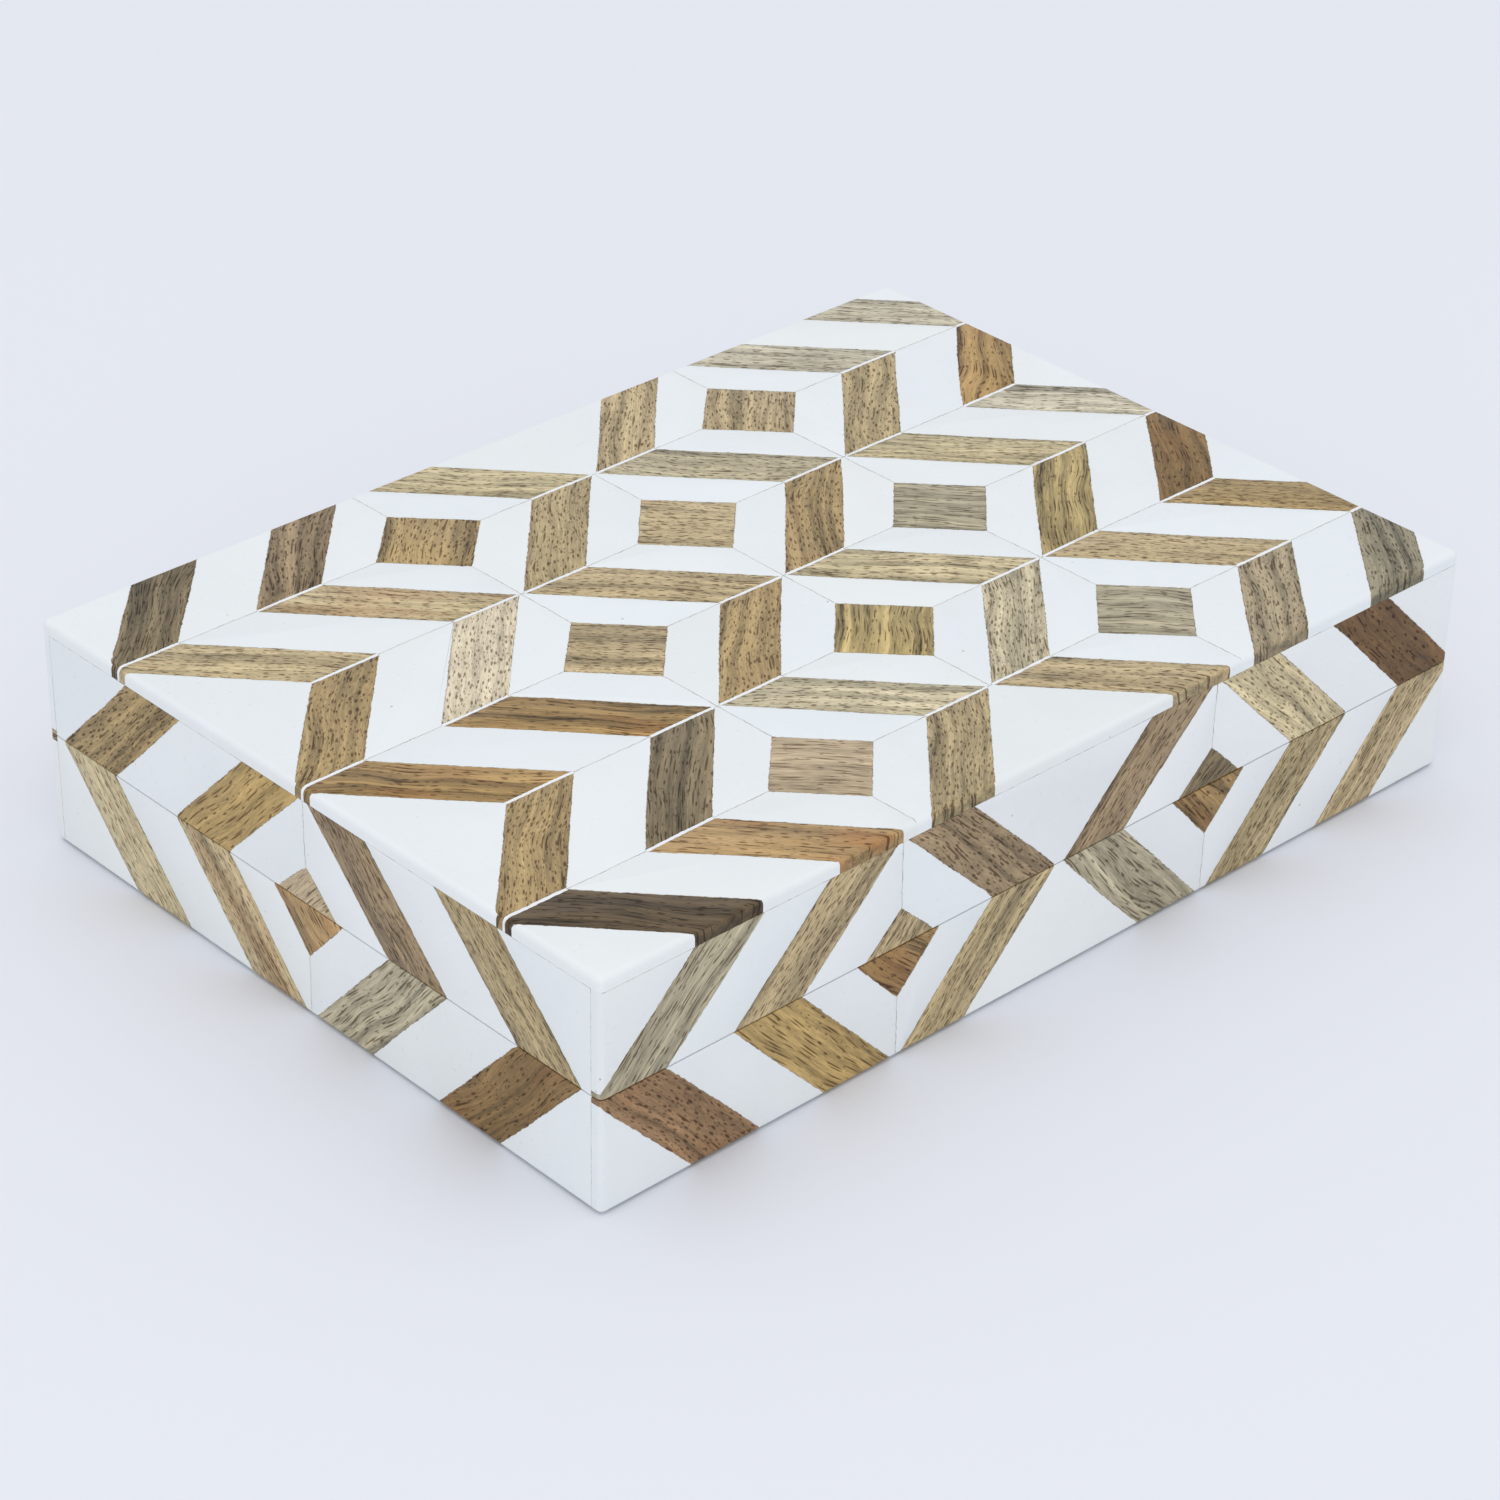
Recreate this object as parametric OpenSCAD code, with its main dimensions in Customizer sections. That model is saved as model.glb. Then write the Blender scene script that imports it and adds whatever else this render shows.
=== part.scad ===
// Low wooden box with a hinged lid. Strips and diamonds of natural wood and white resin tiles
// are glued over a plain wooden carcass. X runs along the long side, the front is at -Y,
// and the origin is at the middle of the underside.

/* [Box] */
// Length over the inlay, along X
box_l = 228; // [170:1:300]
// Depth over the inlay, along Y
box_w = 163.6; // [130:0.2:220]
// Height of the base, from the table to its rim
base_h = 24.1; // [18:0.1:60]
// Height of the lid, from its rim to the outer face
lid_h = 25.25; // [18:0.05:60]
// Space between the two rims when the lid is shut
seam_gap = 0.25; // [0.2:0.05:0.5]

/* [Carcass] */
// Thickness of the upright wooden walls
wall_t = 6; // [5:0.5:10]
// Thickness of the wooden board under the lid's inlay
lid_board_t = 4; // [3:0.5:8]
// Thickness of the wooden bottom board
base_board_t = 4; // [3:0.5:8]

/* [Inlay plates] */
// Thickness of the tiles on the lid's outer face
top_tile_t = 2.8; // [2:0.1:4]
// Thickness of the tiles on the long sides, which cover the ends of the short ones
long_tile_t = 2.45; // [1.5:0.05:4]
// Thickness of the tiles on the short sides
short_tile_t = 2.45; // [1.5:0.05:4]
// Hairline joint between two white tiles
hairline = 0.12; // [0.06:0.02:0.3]
// White filler between the mitred ends of two wood strips
filler_w = 0.7; // [0.4:0.05:1.2]

/* [Top pattern] */
// Distance between two row joints
top_row = 28.3; // [20:0.1:36]
// Width of a wood strip, measured along the row joint
top_strip = 16; // [10:0.5:20]
// Half width of the white frame round a diamond, along the row joint
top_frame = 27; // [20:0.5:32]
// Half of the gap between two strips where they meet at a point
top_node = 0.6; // [0.3:0.1:1.5]
// Width of the white zigzag between the last two wood strips
top_band = 18.6; // [10:0.2:24]
// Half width of a wood diamond
top_diamond_x = 13.2; // [8:0.1:16]
// Half height of a wood diamond
top_diamond_y = 13.4; // [8:0.1:16]
// How far the pattern's middle lies from the box's middle, towards +X
top_shift = 5.2; // [-10:0.1:10]

/* [Side pattern] */
// Width of a wood strip, measured along the seam
side_strip = 16.6; // [10:0.2:20]
// Half width of the white frame round a diamond, on the long sides
long_frame = 24; // [18:0.5:30]
// Half width of the white frame round a diamond, on the short sides
short_frame = 23.6; // [18:0.1:30]
// Half of the gap between two strips where they meet at a point
side_node = 1.3; // [0.5:0.1:2]
// Width of the white slant between the last two wood strips, on the long sides
long_band = 16; // [10:0.2:24]
// Width of the white slant between the two wood strips of a half row, on the short sides
short_band = 19.4; // [10:0.2:24]
// Width of the outer wood strip on the short sides
short_last = 17; // [8:0.2:20]
// Half width at the seam of the part of a side diamond that is left on the lid
lid_diamond_x = 8.6; // [5:0.2:14]
// Height of that part
lid_diamond_y = 8.1; // [4:0.1:14]
// Half width at the seam of the part of a side diamond that is left on the base
base_diamond_x = 10.2; // [5:0.2:14]
// Height of that part
base_diamond_y = 11; // [4:0.1:14]

/* [Hinges] */
// Length of a hinge, along X
hinge_l = 25; // [20:0.5:32]
// Distance from the end of the box to the middle of a hinge
hinge_inset = 44; // [30:1:60]
// Thickness of a hinge leaf
leaf_t = 0.8; // [0.6:0.1:1.1]
// Bare wood left on the rim between a leaf and the inside of the box
leaf_inset = 0.45; // [0.3:0.05:1.5]
// Outer radius of the knuckles
knuckle_r = 1.7; // [1.5:0.1:2.2]
// How far the pin's axis stands behind the back face
pin_out = 0.5; // [0.3:0.1:1.5]
// Radius of the hinge pin
pin_r = 0.8; // [0.6:0.05:1]
// Space round the pin in its knuckles
pin_clear = 0.04; // [0.02:0.01:0.08]
// Space between two knuckles, and round a leaf in its recess
leaf_clear = 0.2; // [0.1:0.05:0.3]
// Distance between the two screws of a leaf
screw_pitch = 15; // [12:0.5:18]
// Radius of a screw's shank
screw_r = 0.9; // [0.7:0.05:1.1]
// Radius of a screw's countersunk head
screw_head_r = 1.7; // [1.4:0.1:1.9]
// Length of a screw under its head
screw_l = 8; // [5:0.5:11]

/* [Hidden] */
$fn = 48;
SIDES = ["front", "back", "left", "right"];
KINDS = ["strips", "diamonds", "white"];

rim_z = base_h + seam_gap;
box_h = rim_z + lid_h;
lid_skin_z = box_h - top_tile_t;
carcass_l = box_l - 2 * short_tile_t;
carcass_w = box_w - 2 * long_tile_t;
pin_y = box_w / 2 + pin_out;
pin_z = base_h + seam_gap / 2;
recess_r = knuckle_r + leaf_clear;
leaf_depth = long_tile_t + wall_t - leaf_inset;
knuckle_l = (hinge_l - 2 * leaf_clear) / 3;
head_h = screw_head_r - screw_r;
screw_y = box_w / 2 - long_tile_t - wall_t / 2;
pin_head_r = (pin_r + knuckle_r) / 2;
pin_head_l = 0.6;
pin_head_clear = pin_head_l + leaf_clear;
cut_over = 1;

// A pattern is [strip width, half frame, half gap at a point, white band, last strip, zigzag].
// In a zigzag the second strip leans back round another diamond; without it, all lean one way.
TOP_PATTERN = [top_strip, top_frame, top_node, top_band, top_strip, true];
LONG_PATTERN = [side_strip, long_frame, side_node, long_band, side_strip, true];
SHORT_PATTERN = [side_strip, short_frame, side_node, short_band, short_last, false];
function strip_of(p) = p[0];
function frame_of(p) = p[1];
function gap_of(p) = p[2];
function band_of(p) = p[3];
function last_of(p) = p[4];
function zigzag(p) = p[5];
// From a point where strips meet to the next diamond's middle, along a row joint.
function half_period(p) = gap_of(p) + strip_of(p) + frame_of(p);
// How far a strip leans over one row.
function lean(p) = frame_of(p) - gap_of(p);
// Where the second strip, the white band, the last strip and the outer field begin.
function second_x(p) = half_period(p) + frame_of(p);
function band_x(p) = (zigzag(p) ? second_x(p) : gap_of(p)) + strip_of(p);
function last_x(p) = band_x(p) + band_of(p);
function field_x(p) = last_x(p) + last_of(p);
function outer_lean(p) = zigzag(p) ? -lean(p) : lean(p);
// The wood strips of half a row, each [start on the point line, width, lean].
function strips(p) = concat(
    [[gap_of(p), strip_of(p), lean(p)]],
    zigzag(p) ? [[second_x(p), strip_of(p), -lean(p)]] : [],
    [[last_x(p), last_of(p), outer_lean(p)]]
);

wood_colours = ["#a8956f", "#8f7a5c", "#c0ad86", "#6f6152"];
white_colour = "#f4f5f3";
carcass_colour = "#9c7a52";
brass_colour = "#b08d4a";

// A slanted band of a row: y0 is the point line, y1 the diamond line, cut is taken off both ends.
module slant(start, width, lean_by, y0, y1, cut) {
    share = cut / abs(y1 - y0);
    turn = sign(y1 - y0);
    polygon([
        [start + lean_by * share, y0 + turn * cut],
        [start + width + lean_by * share, y0 + turn * cut],
        [start + width + lean_by * (1 - share), y1 - turn * cut],
        [start + lean_by * (1 - share), y1 - turn * cut]
    ]);
}

// A white triangle with no diamond: its base is on y0 and its cut tip is on y1.
module frame_whole(p, y0, y1, cut) {
    turn = sign(y1 - y0);
    wide = frame_of(p) - cut * lean(p) / abs(y1 - y0);
    narrow = gap_of(p) + cut * lean(p) / abs(y1 - y0);
    polygon([
        [-wide, y0 + turn * cut], [wide, y0 + turn * cut],
        [narrow, y1 - turn * cut], [-narrow, y1 - turn * cut]
    ]);
}

// One quarter of a white frame: the diamond is centred on (0, y0) and the frame's tip is on y1.
module frame_quarter(p, diamond_x, diamond_y, y0, y1, cut) {
    turn = sign(y1 - y0);
    h = hairline / 2;
    slope = lean(p) / abs(y1 - y0);
    polygon([
        [diamond_x * (1 - cut / diamond_y), y0 + turn * cut],
        [frame_of(p) - cut * slope, y0 + turn * cut],
        [gap_of(p) + cut * slope, y1 - turn * cut],
        [h, y1 - turn * cut],
        [h, y0 + turn * diamond_y * (1 - h / diamond_x)]
    ]);
}

// Half of a white frame, mitred in the middle, or a plain triangle where no diamond fits.
module frame_half(p, diamond, y0, y1, cut) {
    if (holds_diamond(y0)) {
        for (side = [0, 1]) mirror([side, 0, 0]) frame_quarter(p, diamond[0], diamond[1], y0, y1, cut);
    } else {
        frame_whole(p, y0, y1, cut);
    }
}

// The wood strips of one row, on both sides of the pattern's middle.
module strip_row(p, y0, y1, cut) {
    for (side = [0, 1]) mirror([side, 0, 0])
        for (s = strips(p)) slant(s[0], s[1], s[2], y0, y1, cut);
}

// The white field beyond the last strip. It has no joint on the diamond line, so there it is one
// tile with the field of the next row.
module outer_field(p, y0, y1, cut) {
    turn = sign(y1 - y0);
    far_x = field_x(p) + box_l / 2;
    polygon([
        [field_x(p) + outer_lean(p) * cut / abs(y1 - y0), y0 + turn * cut],
        [far_x, y0 + turn * cut],
        [far_x, y1],
        [field_x(p) + outer_lean(p), y1]
    ]);
}

// The white band before the last strip and the white field beyond it, on both sides.
module white_slants(p, y0, y1, cut) {
    for (side = [0, 1]) mirror([side, 0, 0]) {
        slant(band_x(p), band_of(p), outer_lean(p), y0, y1, cut);
        outer_field(p, y0, y1, cut);
    }
}

// Where the diamonds of one line stand: one in the middle of a diamond line, and in a zigzag two
// on a point line.
function diamond_places(p, on_point_line) =
    !on_point_line ? [0] : zigzag(p) ? [-half_period(p), half_period(p)] : [];

module diamond_line(p, x, y, on_point_line) {
    for (place = diamond_places(p, on_point_line)) translate([place, 0, 0])
        polygon([[-x, 0], [0, -y], [x, 0], [0, y]]);
}

// The lid's outer face has its row joints along X. Even lines are point lines, odd ones diamond lines.
top_lines = ceil(box_w / 2 / top_row);
TOP_LINES = [-top_lines:top_lines];
function point_y(row) = (row % 2 == 0 ? row : row + 1) * top_row;
function diamond_y(row) = (row % 2 == 0 ? row + 1 : row) * top_row;
function holds_diamond(y) = abs(y) + top_diamond_y < box_w / 2;

module top_face() {
    intersection() {
        square([box_l, box_w], center = true);
        translate([top_shift, 0, 0]) children();
    }
}

module top_strips() {
    for (row = [-top_lines:top_lines - 1]) strip_row(TOP_PATTERN, point_y(row), diamond_y(row), filler_w / 2);
}

module top_white() {
    diamond = [top_diamond_x, top_diamond_y];
    for (row = [-top_lines:top_lines - 1]) {
        y0 = point_y(row);
        y1 = diamond_y(row);
        white_slants(TOP_PATTERN, y0, y1, hairline / 2);
        frame_half(TOP_PATTERN, diamond, y1, y0, hairline / 2);
        for (x = [-half_period(TOP_PATTERN), half_period(TOP_PATTERN)]) translate([x, 0, 0])
            frame_half(TOP_PATTERN, diamond, y0, y1, hairline / 2);
    }
}

module top_diamonds() {
    for (line = TOP_LINES) if (holds_diamond(line * top_row)) translate([0, line * top_row, 0])
        diamond_line(TOP_PATTERN, top_diamond_x, top_diamond_y, line % 2 == 0);
}

module top_filler() {
    for (line = TOP_LINES) translate([0, line * top_row, 0]) filler_line(line % 2 == 0);
}

// The white filler that closes the mitres of the wood strips along one row joint.
module filler_line(on_point_line) {
    half = filler_w / 2;
    for (side = [0, 1]) mirror([side, 0, 0]) for (s = strips(TOP_PATTERN)) {
        start = on_point_line ? s[0] : s[0] + s[2];
        step = (on_point_line ? s[2] : -s[2]) * half / top_row;
        polygon([
            [start + step, -half], [start, 0], [start + step, half],
            [start + s[1] + step, half], [start + s[1], 0], [start + s[1] + step, -half]
        ]);
    }
}

// One side plate, flat: x runs to the right as seen from outside, y is the height.
// On a long side the points are on the seam, on a short side the diamond is.
module side_face(kind, half, long) {
    p = long ? LONG_PATTERN : SHORT_PATTERN;
    seam = half == "lid" ? rim_z : base_h;
    edge = half == "lid" ? lid_skin_z : 0;
    diamond = half == "lid" ? [lid_diamond_x, lid_diamond_y] : [base_diamond_x, base_diamond_y];
    width = long ? box_l : carcass_w;
    intersection() {
        translate([-width / 2, min(seam, edge), 0]) square([width, abs(edge - seam)]);
        if (kind == "strips") strip_row(p, long ? seam : edge, long ? edge : seam, 0);
        if (kind == "white") side_white(p, diamond, seam, edge, long);
        if (kind == "diamonds") translate([0, seam, 0]) diamond_line(p, diamond[0], diamond[1], long);
    }
}

// The frames round the side diamonds have one upright mitre; the triangles between are whole.
module side_white(p, diamond, seam, edge, long) {
    white_slants(p, long ? seam : edge, long ? edge : seam, 0);
    for (x = diamond_places(p, !long)) translate([x, 0, 0]) frame_whole(p, edge, seam, 0);
    for (x = diamond_places(p, long)) translate([x, 0, 0])
        for (side = [0, 1]) mirror([side, 0, 0]) frame_quarter(p, diamond[0], diamond[1], seam, edge, 0);
}

module on_front() {
    translate([0, -box_w / 2 + long_tile_t, 0]) rotate([90, 0, 0]) linear_extrude(long_tile_t) children();
}

module on_left() {
    translate([-box_l / 2 + short_tile_t, 0, 0]) rotate([0, 0, -90]) rotate([90, 0, 0])
        linear_extrude(short_tile_t) children();
}

module side_plate(half, side, kind) {
    if (side == "front") on_front() side_face(kind, half, true);
    if (side == "left") on_left() side_face(kind, half, false);
    if (side == "right") rotate([0, 0, 180]) on_left() side_face(kind, half, false);
    if (side == "back") difference() {
        rotate([0, 0, 180]) on_front() side_face(kind, half, true);
        hinge_recesses();
    }
}

// Room for both leaves and the barrel of each hinge.
module hinge_recesses() {
    at_hinges() {
        leaf_pocket(-1);
        leaf_pocket(1);
        rotate([0, 90, 0]) cylinder(r = recess_r, h = hinge_l + 2 * pin_head_clear, center = true);
    }
}

module at_hinges() {
    for (side = [-1, 1]) translate([side * (box_l / 2 - hinge_inset), pin_y, pin_z]) children();
}

// up is -1 for the base's leaf and 1 for the lid's; the pin's axis is at the origin.
module leaf_pocket(up) {
    z = up * (seam_gap / 2 + leaf_t / 2);
    depth = leaf_depth + pin_out + cut_over;
    translate([0, -depth / 2 + cut_over, z])
        cube([hinge_l + 2 * leaf_clear, depth, leaf_t], center = true);
}

module leaf_plate(up) {
    z = up * (seam_gap / 2 + leaf_t / 2);
    depth = leaf_depth + pin_out - leaf_clear;
    translate([0, -depth / 2, z]) cube([hinge_l, depth, leaf_t], center = true);
}

module knuckles(places, r, spare) {
    for (place = places) translate([place * (knuckle_l + leaf_clear), 0, 0]) rotate([0, 90, 0])
        cylinder(r = r, h = knuckle_l + 2 * spare, center = true);
}

// A leaf keeps its own knuckles and is cut away round the other leaf's.
module leaf(up, own, other) {
    difference() {
        union() {
            leaf_plate(up);
            knuckles(own, knuckle_r, 0);
        }
        knuckles(other, recess_r, leaf_clear);
        rotate([0, 90, 0]) cylinder(r = pin_r + pin_clear, h = hinge_l + cut_over, center = true);
        at_screws() screw(up);
    }
}

module at_screws() {
    for (x = [-screw_pitch / 2, screw_pitch / 2]) translate([x, screw_y - pin_y, 0]) children();
}

// A countersunk screw, with its flat head level with the leaf's open face.
module screw(up) {
    translate([0, 0, up * seam_gap / 2]) mirror([0, 0, up < 0 ? 1 : 0]) {
        cylinder(r1 = screw_head_r, r2 = screw_r, h = head_h);
        translate([0, 0, head_h]) cylinder(r = screw_r, h = screw_l);
    }
}

module base_wall_cuts() {
    hinge_recesses();
    at_hinges() at_screws() screw(-1);
}

module lid_wall_cuts() {
    hinge_recesses();
    at_hinges() at_screws() screw(1);
}

// A wall of the carcass: long ones run the whole length, short ones fit between them.
module long_wall(z, h) {
    translate([-carcass_l / 2, -carcass_w / 2, z]) cube([carcass_l, wall_t, h]);
}

module short_wall(z, h) {
    translate([-carcass_l / 2, -carcass_w / 2 + wall_t, z]) cube([wall_t, carcass_w - 2 * wall_t, h]);
}

module base_board() {
    color(carcass_colour) translate([-carcass_l / 2, -carcass_w / 2, 0])
        cube([carcass_l, carcass_w, base_board_t]);
}

module lid_board() {
    color(carcass_colour) translate([-carcass_l / 2, -carcass_w / 2, lid_skin_z - lid_board_t])
        cube([carcass_l, carcass_w, lid_board_t]);
}

base_wall_h = base_h - base_board_t;
lid_wall_h = lid_skin_z - lid_board_t - rim_z;

module base_front_wall() {
    color(carcass_colour) long_wall(base_board_t, base_wall_h);
}

module base_back_wall() {
    color(carcass_colour) difference() {
        rotate([0, 0, 180]) long_wall(base_board_t, base_wall_h);
        base_wall_cuts();
    }
}

module base_left_wall() {
    color(carcass_colour) short_wall(base_board_t, base_wall_h);
}

module base_right_wall() {
    color(carcass_colour) rotate([0, 0, 180]) short_wall(base_board_t, base_wall_h);
}

module lid_front_wall() {
    color(carcass_colour) long_wall(rim_z, lid_wall_h);
}

module lid_back_wall() {
    color(carcass_colour) difference() {
        rotate([0, 0, 180]) long_wall(rim_z, lid_wall_h);
        lid_wall_cuts();
    }
}

module lid_left_wall() {
    color(carcass_colour) short_wall(rim_z, lid_wall_h);
}

module lid_right_wall() {
    color(carcass_colour) rotate([0, 0, 180]) short_wall(rim_z, lid_wall_h);
}

module lid_top_strips() {
    color(wood_colours[0]) translate([0, 0, lid_skin_z]) linear_extrude(top_tile_t) top_face() top_strips();
}

module lid_top_diamonds() {
    color(wood_colours[1]) translate([0, 0, lid_skin_z]) linear_extrude(top_tile_t) top_face() top_diamonds();
}

module lid_top_white() {
    color(white_colour) translate([0, 0, lid_skin_z]) linear_extrude(top_tile_t) top_face() top_white();
}

module lid_top_filler() {
    color("white") translate([0, 0, lid_skin_z]) linear_extrude(top_tile_t) top_face() top_filler();
}

module hinge_base_leaves() {
    color(brass_colour) at_hinges() leaf(-1, [-1, 1], [0]);
}

module hinge_lid_leaves() {
    color(brass_colour) at_hinges() leaf(1, [0], [-1, 1]);
}

// Each pin has a low round head at both ends, against the outer knuckles.
module hinge_pins() {
    color(brass_colour) at_hinges() rotate([0, 90, 0]) {
        cylinder(r = pin_r, h = hinge_l, center = true);
        for (end = [0, 1]) mirror([0, 0, end]) translate([0, 0, hinge_l / 2])
            cylinder(r1 = pin_head_r, r2 = pin_r, h = pin_head_l);
    }
}

module hinge_base_screws() {
    color(brass_colour) at_hinges() at_screws() screw(-1);
}

module hinge_lid_screws() {
    color(brass_colour) at_hinges() at_screws() screw(1);
}

base_board();
base_front_wall();
base_back_wall();
base_left_wall();
base_right_wall();
lid_board();
lid_front_wall();
lid_back_wall();
lid_left_wall();
lid_right_wall();
lid_top_strips();
lid_top_diamonds();
lid_top_white();
lid_top_filler();
hinge_base_leaves();
hinge_lid_leaves();
hinge_pins();
hinge_base_screws();
hinge_lid_screws();
for (half = ["base", "lid"]) for (side = SIDES) for (kind = KINDS)
    side_plate(half, side, kind);
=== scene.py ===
import math
import random

import bmesh
import bpy
import numpy as np
from mathutils import Matrix, Vector, noise


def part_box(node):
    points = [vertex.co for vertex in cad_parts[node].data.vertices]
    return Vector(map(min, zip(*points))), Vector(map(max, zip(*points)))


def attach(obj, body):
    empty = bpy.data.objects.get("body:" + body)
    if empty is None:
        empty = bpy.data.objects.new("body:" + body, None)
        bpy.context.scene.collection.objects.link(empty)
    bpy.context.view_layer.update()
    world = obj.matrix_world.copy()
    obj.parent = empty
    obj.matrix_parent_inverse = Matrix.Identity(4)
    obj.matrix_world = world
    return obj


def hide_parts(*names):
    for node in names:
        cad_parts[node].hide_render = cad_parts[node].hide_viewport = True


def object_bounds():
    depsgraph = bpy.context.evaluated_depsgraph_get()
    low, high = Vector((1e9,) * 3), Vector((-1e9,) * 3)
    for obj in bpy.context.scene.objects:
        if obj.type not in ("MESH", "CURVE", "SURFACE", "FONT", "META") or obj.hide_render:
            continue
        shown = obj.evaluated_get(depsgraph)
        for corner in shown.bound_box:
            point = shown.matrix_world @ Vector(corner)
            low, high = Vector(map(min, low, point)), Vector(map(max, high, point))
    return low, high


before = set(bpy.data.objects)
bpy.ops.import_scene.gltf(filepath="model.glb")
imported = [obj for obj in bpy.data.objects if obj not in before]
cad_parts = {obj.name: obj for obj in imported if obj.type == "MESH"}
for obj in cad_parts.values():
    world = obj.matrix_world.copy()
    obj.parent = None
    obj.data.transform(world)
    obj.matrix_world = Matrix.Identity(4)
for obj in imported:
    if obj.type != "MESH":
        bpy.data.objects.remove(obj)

cad_low, cad_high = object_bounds()
MM = 0.001


# ---------------------------------------------------------------------------------------------
# The carcass: a bottom board, a lid board and four upright walls for each, of pale plain wood.
# They are sawn and planed, butted together and glued, and their edges are broken with sandpaper.

CARCASS_TURN = {"front": "x", "back": "x", "left": "y", "right": "y"}
BROKEN_EDGE = 0.3


class Wire:
    """One output of a node. Sums and products of wires add Math nodes."""

    def __init__(self, tree, output):
        self.tree = tree
        self.output = output

    def maths(self, operation, first, second):
        return self.tree.node("ShaderNodeMath", {"operation": operation}, {0: first, 1: second})

    def __add__(self, other):
        return self.maths("ADD", self, other)

    def __sub__(self, other):
        return self.maths("SUBTRACT", self, other)

    def __rsub__(self, other):
        return self.maths("SUBTRACT", other, self)

    def __mul__(self, other):
        return self.maths("MULTIPLY", self, other)

    __radd__ = __add__
    __rmul__ = __mul__

    def also(self, name):
        """Another output of the same node."""
        return Wire(self.tree, self.output.node.outputs[name])


class Tree:
    """A node tree that is written as expressions."""

    def __init__(self, node_tree):
        self.node_tree = node_tree

    def node(self, kind, settings=None, values=None, out=0):
        made = self.node_tree.nodes.new(kind)
        for name, value in (settings or {}).items():
            setattr(made, name, value)
        for key, value in (values or {}).items():
            if isinstance(value, Wire):
                self.node_tree.links.new(value.output, made.inputs[key])
            else:
                made.inputs[key].default_value = value
        return Wire(self, made.outputs[out]) if len(made.outputs) else None


class Finish(Tree):
    """The surface finish of one material."""

    def __init__(self, name):
        self.material = bpy.data.materials.new(name)
        self.material.use_nodes = True
        super().__init__(self.material.node_tree)
        self.node_tree.nodes.clear()

    def stored(self, name, out="Vector"):
        return self.node("ShaderNodeAttribute", {"attribute_name": name}, {}, out)

    def times(self, vector, *scale):
        return self.node("ShaderNodeVectorMath", {"operation": "MULTIPLY"}, {0: vector, 1: scale})

    def parts_of(self, vector):
        first = self.node("ShaderNodeSeparateXYZ", {}, {0: vector})
        return first, first.also("Y"), first.also("Z")

    def joined(self, *values):
        return self.node("ShaderNodeCombineXYZ", {}, dict(enumerate(values)))

    def cloud(self, place, detail=2.0, roughness=0.5):
        values = {"Vector": place, "Scale": 1.0, "Detail": detail, "Roughness": roughness}
        return self.node("ShaderNodeTexNoise", {}, values, "Fac")

    def cells(self, place, dimensions="3D"):
        values = {"Vector": place, "Scale": 1.0}
        settings = {"voronoi_dimensions": dimensions}
        return self.node("ShaderNodeTexVoronoi", settings, values, "Distance")

    def step(self, value, low, high):
        """0 below low and 1 above high, or the other way round where low is the larger."""
        settings = {"interpolation_type": "SMOOTHSTEP"}
        first, last = (low, high) if low < high else (high, low)
        rise = self.node("ShaderNodeMapRange", settings, {0: value, 1: first, 2: last})
        return rise if low < high else 1 - rise

    def blend(self, share, first, second):
        settings = {"data_type": "RGBA"}
        return self.node("ShaderNodeMix", settings, {0: share, 6: first, 7: second}, 2)

    def shaded(self, colour, amount):
        return self.node("ShaderNodeVectorMath", {"operation": "SCALE"}, {0: colour, 3: amount})

    def surface(self, colour, roughness, height=None, depth=0.02 * MM, **fixed):
        values = {"Base Color": colour, "Roughness": roughness}
        values.update({name.replace("_", " "): value for name, value in fixed.items()})
        if height is not None:
            relief = {"Height": height, "Distance": depth, "Strength": 1.0}
            values["Normal"] = self.node("ShaderNodeBump", {}, relief)
        shader = self.node("ShaderNodeBsdfPrincipled", {}, values)
        self.node("ShaderNodeOutputMaterial", {}, {"Surface": shader})
        return self.material


def light(red, green, blue):
    """A colour given on a scale of 0 to 255, as the share of light it sends back."""
    return tuple(((c / 255 + 0.055) / 1.055) ** 2.4 for c in (red, green, blue)) + (1.0,)


def carcass_wood(along):
    """Pale straight-grained board, with its grain along X or Y."""
    wood = Finish("carcass_wood_" + along)
    place = wood.node("ShaderNodeTexCoord", {}, {}, "Object")
    x, y, z = wood.parts_of(wood.times(place, 1000, 1000, 1000))
    run, side = (x, y) if along == "x" else (y, x)
    bend = wood.cloud(wood.joined(run * 0.012, side * 0.03, z * 0.03), 1.0)
    side = side + bend * 9
    rings = wood.cloud(wood.joined(run * 0.004, side * 0.22, z * 0.22), 3.0, 0.6)
    fibre = wood.cloud(wood.joined(run * 0.09, side * 3.2, z * 3.2), 2.0)
    pore = wood.cells(wood.joined(run * 0.22, side * 2.4, z * 2.4))
    pore = wood.step(pore, 0.3, 0.14)
    tone = wood.blend(wood.step(rings, 0.3, 0.72), light(206, 176, 136), light(176, 140, 98))
    tone = wood.shaded(tone, 0.86 + fibre * 0.28 - pore * 0.22)
    return wood.surface(tone, 0.56 + pore * 0.2 - fibre * 0.1, fibre - pore, 0.03 * MM)


def finished(name, mesh, body, slot, material, *nodes):
    """Puts a mesh into the scene as a piece that rides on a body and stands for CAD nodes."""
    piece = bpy.data.objects.new(name, mesh)
    bpy.context.scene.collection.objects.link(piece)
    mesh.materials.clear()
    mesh.materials.append(material)
    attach(piece, body)
    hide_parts(*nodes)
    return piece


def throw_away(piece):
    spare = piece.data
    bpy.data.objects.remove(piece)
    bpy.data.meshes.remove(spare)


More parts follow.
